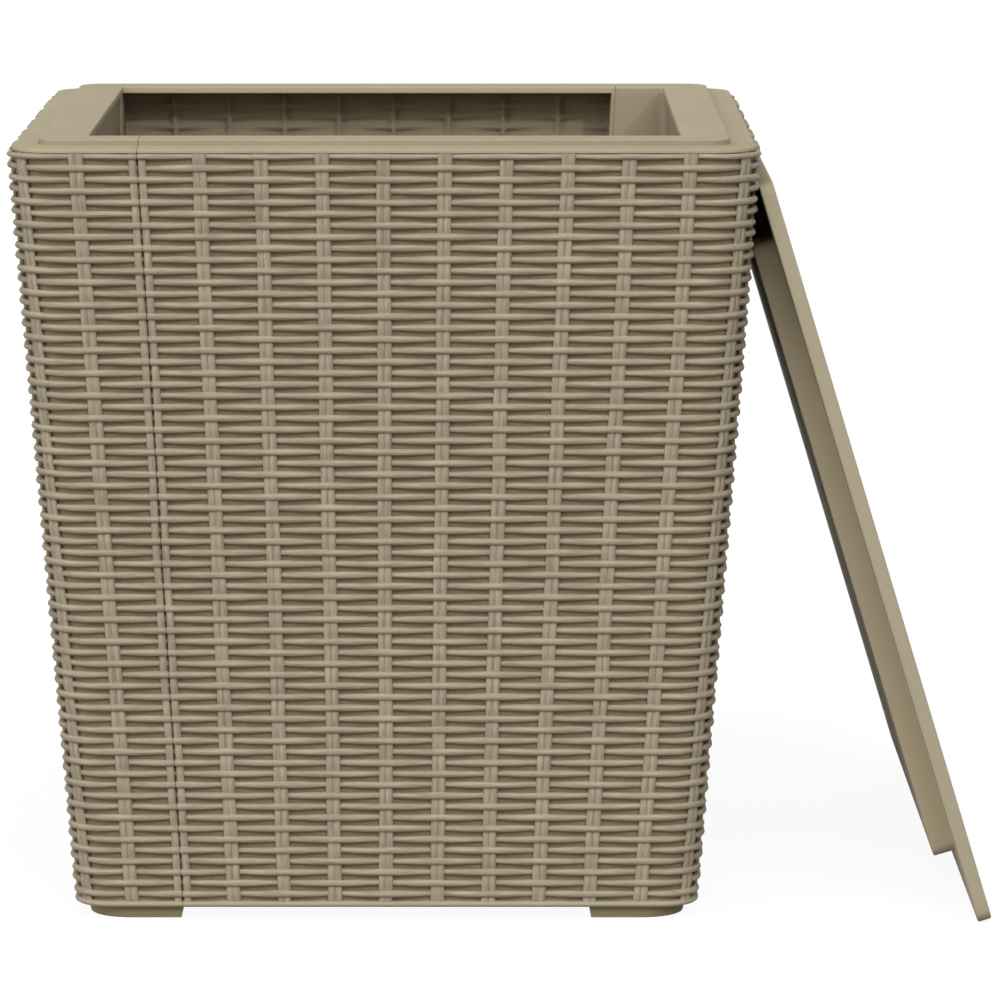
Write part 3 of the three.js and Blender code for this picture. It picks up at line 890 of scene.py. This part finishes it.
def turned(name, profile, steps=32):  # heights up the axis, each with its radius, ending on the axis
    work = bmesh.new()
    rings = []
    for radius, z in profile:
        if radius == 0:
            rings.append([work.verts.new((0, 0, z))] * steps)
            continue
        angles = [step * 2 * math.pi / steps for step in range(steps)]
        rings.append([work.verts.new((radius * math.cos(a), radius * math.sin(a), z)) for a in angles])
    for lower, upper in zip(rings, rings[1:]):
        for i in range(steps):
            corners = dict.fromkeys((lower[i - 1], lower[i], upper[i], upper[i - 1]))
            work.faces.new(list(corners))
    bmesh.ops.recalc_face_normals(work, faces=work.faces)
    return meshOf(name, work)


def movedCopy(mesh, place):
    copy = mesh.copy()
    copy.transform(place)
    return copy


def cutHoles(mesh, cutter):
    holders = []
    for shape in (mesh, cutter):
        holders.append(bpy.data.objects.new("holder", shape))
        bpy.context.scene.collection.objects.link(holders[-1])
    cut = holders[0].modifiers.new("cut", "BOOLEAN")
    cut.operation, cut.solver, cut.object = "DIFFERENCE", "EXACT", holders[1]
    depsgraph = bpy.context.evaluated_depsgraph_get()
    result = bpy.data.meshes.new_from_object(holders[0].evaluated_get(depsgraph))
    for holder in holders:
        bpy.data.objects.remove(holder)
    return result


def cornerPlan(half, radius, inner, end, steps=12):  # two equal legs from the front right corner
    middle = half - radius
    plan = [(end, -half)]
    for step in range(steps + 1):
        angle = step * math.pi / 2 / steps
        plan.append((middle + radius * math.sin(angle), -middle - radius * math.cos(angle)))
    return plan + [(half, -end), (inner, -end), (inner, -inner), (end, -inner)]


foot = {
    "half": 0.2062, "radius": 0.028, "inner": 0.1862, "end": seamAt(bottom), "top": 0.0087,
    "draft": 0.0016, "topDraft": 0.00008, "floorRound": 0.0007, "roundSteps": 3,
    "screw": 0.1921, "recess": 0.0045, "recessRadius": 0.0045, "bore": 0.0023,
}
ledge = {
    "radius": 0.027, "thickness": 0.003, "lap": 0.0014, "chamfer": 0.0004,
    "boss": 0.0043, "bossTop": 0.0195,
}
overrun = 0.001  # how far a hole's cutter runs past the face that it opens


def cornerRings(half, radius, levels):  # levels are heights with how far the plan is drawn in
    rings = []
    for z, drawn in levels:
        plan = cornerPlan(half - drawn, radius, foot["inner"] + drawn, foot["end"] + drawn)
        rings.append([(x, y, z) for x, y in plan])
    return rings


ledgeTop = bottom + ledge["thickness"]
ledgeLevels = [(bottom, 0), (ledgeTop - ledge["chamfer"], 0), (ledgeTop, ledge["chamfer"])]
ledgeHalf = backHalfAt(bottom) + ledge["lap"]
ledgeMesh = stackedRings("ledge", cornerRings(ledgeHalf, ledge["radius"], ledgeLevels))
bossMesh = turned("boss", [
    (0, bottom), (ledge["boss"], bottom), (ledge["boss"], ledge["bossTop"] - ledge["chamfer"]),
    (ledge["boss"] - ledge["chamfer"], ledge["bossTop"]), (0, ledge["bossTop"])])
bossMesh.transform(Matrix.Translation((foot["screw"], -foot["screw"], 0)))
for side in (0, 1):
    quarter = Matrix.Rotation(side * math.pi / 2, 4, "Z")
    panels += [movedCopy(ledgeMesh, quarter), movedCopy(bossMesh, quarter)]

# Bosses behind the return's flange, which the seam screws bite into
seamScrews = {
    "shares": (0.3, 0.58, 0.9), "headOff": 0.00345, "length": 0.012,
    "bossEnd": 0.0116, "boss": 0.0043,
}
seamRise = tankBox["wickerTop"] - bottom
seamLean = math.atan2(seamAt(tankBox["wickerTop"]) - seamAt(bottom), seamRise)


def seamScrewPlace(side, share):  # +Z runs along the screw, from the head to the tip
    z = bottom + seamRise * share
    spot = Vector((-seamAt(z), -(skinHalf + backHalfAt(z)) / 2, z))
    turn = Matrix.Rotation(side * math.pi / 2, 4, "Z")
    return turn @ Matrix.Translation(spot) @ Matrix.Rotation(-math.pi / 2 - seamLean, 4, "Y")


seamBoss = turned("seamBoss", [
    (0, inside["flange"] / 2), (seamScrews["boss"], inside["flange"] / 2),
    (seamScrews["boss"], seamScrews["bossEnd"] - ledge["chamfer"]),
    (seamScrews["boss"] - ledge["chamfer"], seamScrews["bossEnd"]), (0, seamScrews["bossEnd"])])
for share in seamScrews["shares"]:
    panels.append(movedCopy(seamBoss, seamScrewPlace(2, share)))
insideMesh = joinMeshes("insidePanels", panels)
smoothMesh(insideMesh)
# the inside panels take the darker panel resin, painted shade inside the well
onBothHalves("insidePanels", insideMesh, resins["panel"])
print("panels made")

# Feet, drafted towards the floor
footLevels = []
for step in range(foot["roundSteps"] + 1):
    angle = step * math.pi / 2 / foot["roundSteps"]
    z = foot["floorRound"] * (1 - math.cos(angle))
    drawn = foot["draft"] * (1 - z / foot["top"]) + foot["floorRound"] * (1 - math.sin(angle))
    footLevels.append((z, drawn))
footLevels += [(foot["top"] - ledge["chamfer"], foot["topDraft"]), (foot["top"], ledge["chamfer"])]
footBlock = stackedRings("foot", cornerRings(foot["half"], foot["radius"], footLevels))
footHoles = turned("footHoles", [
    (0, -overrun), (foot["recessRadius"], -overrun), (foot["recessRadius"], foot["recess"]),
    (foot["bore"], foot["recess"]), (foot["bore"], foot["top"] + overrun), (0, foot["top"] + overrun)])
footHoles.transform(Matrix.Translation((foot["screw"], -foot["screw"], 0)))
footMesh = cutHoles(footBlock, footHoles)
smoothMesh(footMesh)
cornerNames = ("front_right", "rear_right", "rear_left", "front_left")
inBody = Matrix.Translation(boxMiddle)
for side, corner in enumerate(cornerNames):
    pad = movedCopy(footMesh, inBody @ Matrix.Rotation(side * math.pi / 2, 4, "Z"))
    meshPiece("pad_" + corner, pad, resins["foot"], "body", ["foot_" + corner])
print("feet made")

# Lid: a tray turned down over a pan, both leaning in the lid's own frame
lid = {
    "lean": 16.9, "half": 0.2653, "radius": 0.009, "thickness": 0.0097, "skin": 0.003,
    "bevel": 0.0012, "fit": 0.0003, "fieldHalf": 0.2217, "fieldRadius": 0.008,
    "fieldDepth": 0.0157, "fieldFillet": 0.0009, "panRadius": 0.0057, "flangeBevel": 0.0006,
    "screw": 0.1977, "recess": 0.0027, "recessRadius": 0.0045, "bore": 0.0023, "screwLength": 0.013,
}
lidLow, lidHigh = (Vector(corner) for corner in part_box("lid_top"))
lidTurn = Matrix.Rotation(math.radians(90 - lid["lean"]), 4, "Y")
lidPlace = Matrix.Translation((lidLow + lidHigh) / 2) @ lidTurn
lidPlace = lidPlace @ Matrix.Translation((0, 0, -lid["thickness"] / 2))


def roundedSquare(half, radius, z, steps=8):
    spots = []
    for corner in range(4):
        for step in range(steps + 1):
            angle = (corner + step / steps) * math.pi / 2
            turn = Matrix.Rotation(corner * math.pi / 2, 2)
            middle = turn @ Vector((half - radius, half - radius))
            spots.append((middle.x + radius * math.cos(angle), middle.y + radius * math.sin(angle), z))
    return spots


def roundedStack(name, levels):  # levels are half width, corner radius and height, along the outline
    return stackedRings(name, [roundedSquare(*level) for level in levels])


def bevelLevels(half, radius, z, bevel, rising, steps=4):  # a rounded edge, from the wall to the face
    levels = []
    for step in range(steps + 1):
        angle = step * math.pi / 2 / steps
        drawn = bevel * (1 - math.cos(angle))
        levels.append((half - drawn, radius - drawn, z + rising * bevel * (math.sin(angle) - 1)))
    return levels


trayHalf = lid["half"] - lid["skin"]
trayLevels = [(trayHalf, lid["radius"] - lid["skin"], lid["thickness"] - lid["skin"])]
trayLevels += [(trayHalf, lid["radius"] - lid["skin"], lid["fit"])]
trayLevels += bevelLevels(lid["half"], lid["radius"], 0, lid["bevel"], -1)[::-1]
trayLevels += bevelLevels(lid["half"], lid["radius"], lid["thickness"], lid["bevel"], 1)
trayMesh = roundedStack("tray", trayLevels)


def filletLevels(half, radius, z, fillet, steps=4):  # a hollow corner, from the face down to the wall
    levels = []
    for step in range(steps + 1):
        angle = step * math.pi / 2 / steps
        out = fillet * (1 - math.sin(angle))
        levels.append((half + out, radius + out, z - fillet * (1 - math.cos(angle))))
    return levels


panHalf = trayHalf - lid["fit"]
hollowHalf = lid["fieldHalf"] - lid["skin"]
hollowRadius = lid["fieldRadius"] - lid["skin"]
panLevels = [(hollowHalf, hollowRadius, lid["skin"] - lid["fieldDepth"])]
panLevels += [(hollowHalf, hollowRadius, lid["skin"]), (panHalf, lid["panRadius"], lid["skin"])]
panLevels += bevelLevels(panHalf, lid["panRadius"], 0, lid["flangeBevel"], -1)
panLevels += filletLevels(lid["fieldHalf"], lid["fieldRadius"], 0, lid["fieldFillet"])
panLevels += bevelLevels(lid["fieldHalf"], lid["fieldRadius"], -lid["fieldDepth"], lid["bevel"], -1)
panBlock = roundedStack("pan", panLevels)
recessTop = lid["recess"] - lid["fieldDepth"]
recessOpen = -lid["fieldDepth"] - overrun
lidHole = turned("lidHole", [
    (0, recessOpen), (lid["recessRadius"], recessOpen), (lid["recessRadius"], recessTop),
    (lid["bore"], recessTop), (lid["bore"], recessTop + overrun), (0, recessTop + overrun)])
lidScrewSides = ((0, 0), (1, 1), (-1, 1), (-1, -1), (1, -1))
lidSpots = [Vector((x * lid["screw"], y * lid["screw"], 0)) for x, y in lidScrewSides]
lidHoles = joinMeshes("lidHoles", [movedCopy(lidHole, Matrix.Translation(spot)) for spot in lidSpots])
panMesh = cutHoles(panBlock, lidHoles)
# the pan takes the lighter pan resin, painted light on its shaded field wall
lidPieces = (("lidTray", trayMesh, "lid_top", "lid"), ("lidPan", panMesh, "lid_base", "pan"))
for name, mesh, node, part in lidPieces:
    mesh.transform(lidPlace)
    smoothMesh(mesh)
    meshPiece(name, mesh, resins[part], "lid", [node])
print("lid made")

# Zinc screws: a thread grown on a grid, and a turned pan head with a cross recess
threadSizes = {
    "Screws": 1, "Stations": 72, "Points round": 16, "Length": 0.012, "Start": 0.0005,
    "Core": 0.00145, "Thread": 0.00055, "Thread pitch": 0.0014, "Thread share": 0.6,
    "Tip": 0.003, "Tip power": 0.8, "Steel": zinc,
}
screwHead = {
    "radius": 0.0042, "height": 0.0024, "edge": 0.00015, "side": 0.0009, "crown": 0.0026,
    "crownSteps": 5,
}
cross = {"reach": 0.0021, "foot": 0.0008, "halfWidth": 0.00045, "depth": 0.0014}


def threadTree(sizes):
    tree, inputs = startTree("screwThread", sizes)
    geometry, station, around = gridOfRows(
        tree, inputs["Screws"], inputs["Stations"], inputs["Points round"])[:3]
    z = station / inputs["Stations"] * (inputs["Length"] + inputs["Start"]) - inputs["Start"]
    turn = around / inputs["Points round"]
    winding = z / inputs["Thread pitch"] - turn
    fromGroove = (winding - winding.floor() - 0.5).size() * 2
    ridge = (fromGroove - 1 + inputs["Thread share"]).atLeast(0) / inputs["Thread share"]
    toTip = ((inputs["Length"] - z) / inputs["Tip"]).atMost(1).power(inputs["Tip power"])
    radius = (inputs["Core"] + inputs["Thread"] * ridge) * toTip * station.atMost(1)
    angle = turn * (2 * math.pi)
    position = joinedSpot(tree, radius * angle.cos(), radius * angle.sin(), z)
    finishTree(tree, geometry, position, z, turn, inputs["Steel"])
    return tree


def screwMeshOf(length):
    sizes = dict(threadSizes, Length=length)
    thread = growMesh("thread", threadTree(sizes), sizes)
    radius, height = screwHead["radius"], screwHead["height"]
    edge, upright = screwHead["edge"], screwHead["side"]
    profile = [(0, 0), (radius - edge, 0), (radius, -edge), (radius, -upright)]
    for step in range(1, screwHead["crownSteps"] + 1):
        angle = step * math.pi / 2 / screwHead["crownSteps"]
        reach = screwHead["crown"] + (radius - screwHead["crown"]) * math.cos(angle)
        profile.append((reach, -upright - (height - upright) * math.sin(angle)))
    head = turned("head", profile + [(0, -height)])
    slot = []
    for z, reach in ((-height - upright, cross["reach"]), (cross["depth"] - height, cross["foot"])):
        w = cross["halfWidth"]
        arm = [(reach, -w), (reach, w), (w, w)]
        ring = []
        for quarter in range(4):
            turn = Matrix.Rotation(quarter * math.pi / 2, 2)
            ring += [(*(turn @ Vector(spot)), z) for spot in arm]
        slot.append(ring)
    mesh = joinMeshes("screw", [thread, cutHoles(head, stackedRings("cross", slot))])
    faceOut(mesh)
    smoothMesh(mesh)
    return mesh


bodyScrew = screwMeshOf(seamScrews["length"])
lidScrew = screwMeshOf(lid["screwLength"])
bodyPlaces, bodyNodes = [], []
for side, corner in enumerate(cornerNames):
    seat = Vector((foot["screw"], -foot["screw"], foot["recess"] - lid["fit"]))
    bodyPlaces.append(inBody @ Matrix.Rotation(side * math.pi / 2, 4, "Z") @ Matrix.Translation(seat))
    bodyNodes.append("foot_screw_" + corner)
for face, turn in (("front", 0), ("rear", math.pi)):
    for number, share in enumerate(seamScrews["shares"], 1):
        headOff = Matrix.Translation((0, 0, -seamScrews["headOff"]))
        bodyPlaces.append(inBody @ Matrix.Rotation(turn, 4, "Z") @ seamScrewPlace(0, share) @ headOff)
        bodyNodes.append(f"seam_screw_{face}_{number}")
lidSeat = Matrix.Translation((0, 0, recessTop - lid["fit"]))
lidPlaces = [lidPlace @ Matrix.Translation(spot) @ lidSeat for spot in lidSpots]
lidNodes = [f"lid_screw_{number}" for number in range(1, len(lidSpots) + 1)]
screwSets = (
    ("bodyScrews", bodyScrew, bodyPlaces, "body", bodyNodes),
    ("lidScrews", lidScrew, lidPlaces, "lid", lidNodes),
)
for name, mesh, places, body, nodes in screwSets:
    gathered = joinMeshes(name, [movedCopy(mesh, place) for place in places])
    smoothMesh(gathered)
    meshPiece(name, gathered, zinc, body, nodes)
print("screws made")


# Floor, light and camera
def seenByCameraOrGloss(add):
    rays = add("ShaderNodeLightPath").outputs
    seen = {0: rays["Is Camera Ray"], 1: rays["Is Glossy Ray"]}
    return add("ShaderNodeMath", seen, operation="MAXIMUM").outputs[0]


floorLook = {"reach": 30, "bounce": 0.25, "seen": 0.9, "paper": 0.88, "paperLevel": 1.06}
floorCorners = [(x * floorLook["reach"], y * floorLook["reach"], 0)
                for x, y in ((-1, -1), (1, -1), (1, 1), (-1, 1))]
floorMesh = meshFrom("floor", floorCorners, [(0, 1, 2, 3)])
floor = bpy.data.objects.new("floor", floorMesh)
bpy.context.scene.collection.objects.link(floor)
floorPaint = bpy.data.materials.new("floorPaint")
addFloor = nodeMaker(clearedTree(floorPaint))
seen = seenByCameraOrGloss(addFloor)
bounce = addFloor("ShaderNodeMapRange", {
    "Value": seen, "To Min": floorLook["bounce"], "To Max": floorLook["seen"]})
matt = addFloor("ShaderNodeBsdfDiffuse", {"Color": bounce.outputs["Result"]})
paper = addFloor("ShaderNodeEmission", {"Color": (1, 1, 1, 1), "Strength": floorLook["paperLevel"]})
paperShare = addFloor("ShaderNodeMath", {0: seen, 1: floorLook["paper"]}, operation="MULTIPLY")
floorMix = addFloor("ShaderNodeMixShader", {
    0: paperShare.outputs[0], 1: matt.outputs[0], 2: paper.outputs[0]})
addFloor("ShaderNodeOutputMaterial", {"Surface": floorMix.outputs["Shader"]})
floorMesh.materials.append(floorPaint)

worldLevel = 0.3
lamps = {
    "key": {"level": 0.52, "from": (0.84, -1.79, 1.0), "angle": 3},
    "canopy": {"level": 1.4, "from": (0.0, -0.7, 0.7), "angle": 50},
    "front": {"level": 0.25, "from": (0.0, -1.0, 0.12), "angle": 50},
    "left": {"level": 1.02, "from": (-0.8, -0.5, 0.35), "angle": 50},
}
world = bpy.data.worlds.new("studio")
bpy.context.scene.world = world
addWorld = nodeMaker(clearedTree(world))
level = addWorld("ShaderNodeMapRange", {
    "Value": seenByCameraOrGloss(addWorld), "To Min": worldLevel, "To Max": 1.0})
sky = addWorld("ShaderNodeBackground", {"Color": (1, 1, 1, 1), "Strength": level.outputs["Result"]})
addWorld("ShaderNodeOutputWorld", {"Surface": sky.outputs["Background"]})

for name, light in lamps.items():
    lamp = bpy.data.objects.new(name, bpy.data.lights.new(name, "SUN"))
    bpy.context.scene.collection.objects.link(lamp)
    lamp.data.energy = light["level"]
    lamp.data.angle = math.radians(light["angle"])
    lamp.rotation_euler = Vector(light["from"]).to_track_quat("Z", "Y").to_euler()

view = {
    "spot": (0.06413, -4.28533, 0.90608), "pitch": 8.58, "lens": 218.3, "sensor": 36,
    "shift": 0.02034, "farEnd": 100,
}
cameraData = bpy.data.cameras.new("camera")
camera = bpy.data.objects.new("camera", cameraData)
bpy.context.scene.collection.objects.link(camera)
camera.location = Vector(view["spot"]) + boxMiddle
camera.rotation_euler = (math.radians(90 - view["pitch"]), 0, 0)
cameraData.sensor_width = view["sensor"]
cameraData.lens = view["lens"]
cameraData.shift_x = view["shift"]
cameraData.clip_end = view["farEnd"]
bpy.context.scene.camera = camera
bpy.context.scene.view_settings.view_transform = "Standard"
